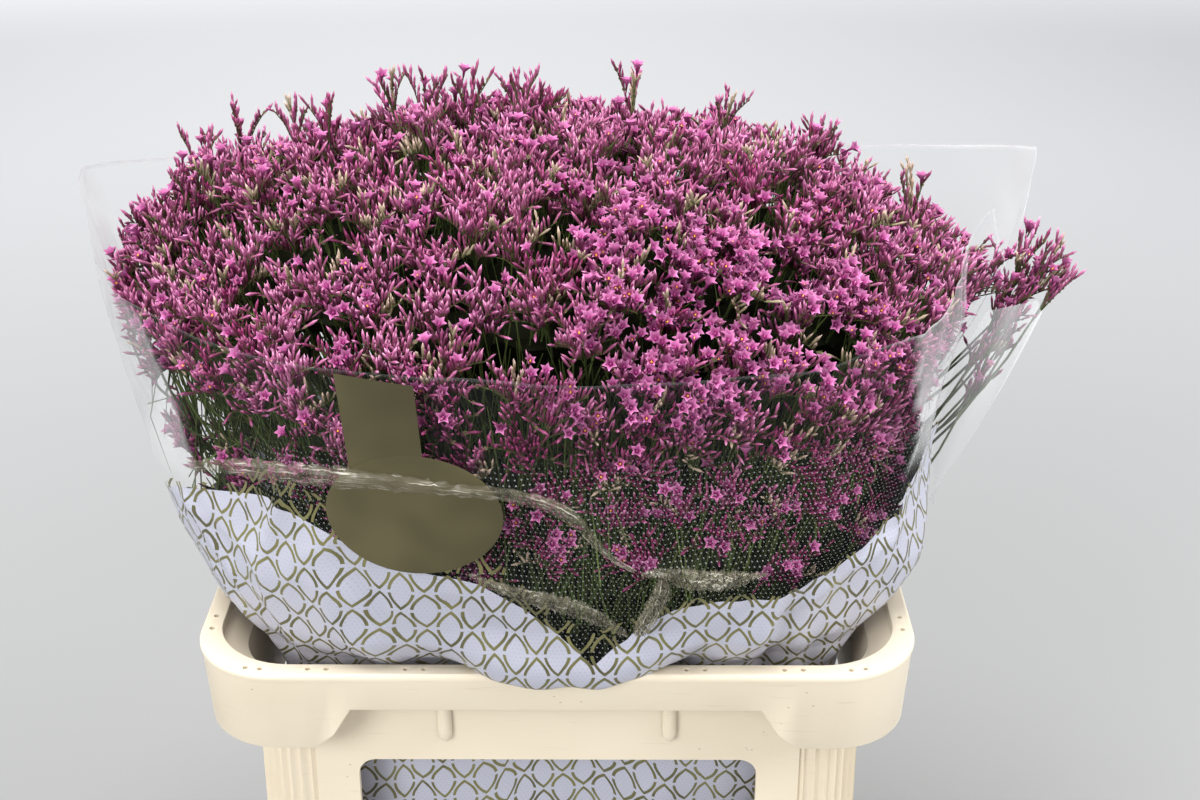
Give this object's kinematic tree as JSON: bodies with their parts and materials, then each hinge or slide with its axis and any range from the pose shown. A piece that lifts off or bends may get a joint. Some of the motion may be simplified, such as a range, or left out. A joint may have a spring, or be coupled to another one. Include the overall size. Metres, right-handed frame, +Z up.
{
  "type": "bunch of statice in a flower bucket",
  "caption": "Dense bunch of fine magenta statice in a patterned film sleeve with a blank label, standing in a rectangular cream flower bucket with windowed collar.",
  "frame": {"origin": "middle of the tub's underside", "axes": "+Z up, -Y towards the front with the label, +X towards the side where the sleeve's seam opens"},
  "size_m": [0.5637, 0.3723, 0.7234],
  "materials": {
    "cream_plastic": "cream injection-moulded plastic, satin, lightly scuffed",
    "printed_film": "clear glossy wrapping film, its lower band printed lavender white with olive lines",
    "label_foil": "olive-gold satin label, blank",
    "florets": "papery magenta-pink calyces and small flowers on green stems"
  },
  "bodies": {
    "root": {"tub": "cream_plastic", "collar": "cream_plastic", "sleeve": "printed_film", "label": "label_foil", "spray_01": "florets", "spray_02": "florets", "spray_03": "florets", "spray_04": "florets", "spray_05": "florets", "spray_06": "florets", "spray_07": "florets", "spray_08": "florets", "spray_09": "florets", "spray_10": "florets", "spray_11": "florets", "spray_12": "florets", "spray_13": "florets", "spray_14": "florets", "spray_15": "florets", "spray_16": "florets", "spray_17": "florets", "spray_18": "florets", "spray_19": "florets", "spray_20": "florets", "spray_21": "florets", "spray_22": "florets", "spray_23": "florets", "spray_24": "florets"}
  },
  "joints": []
}
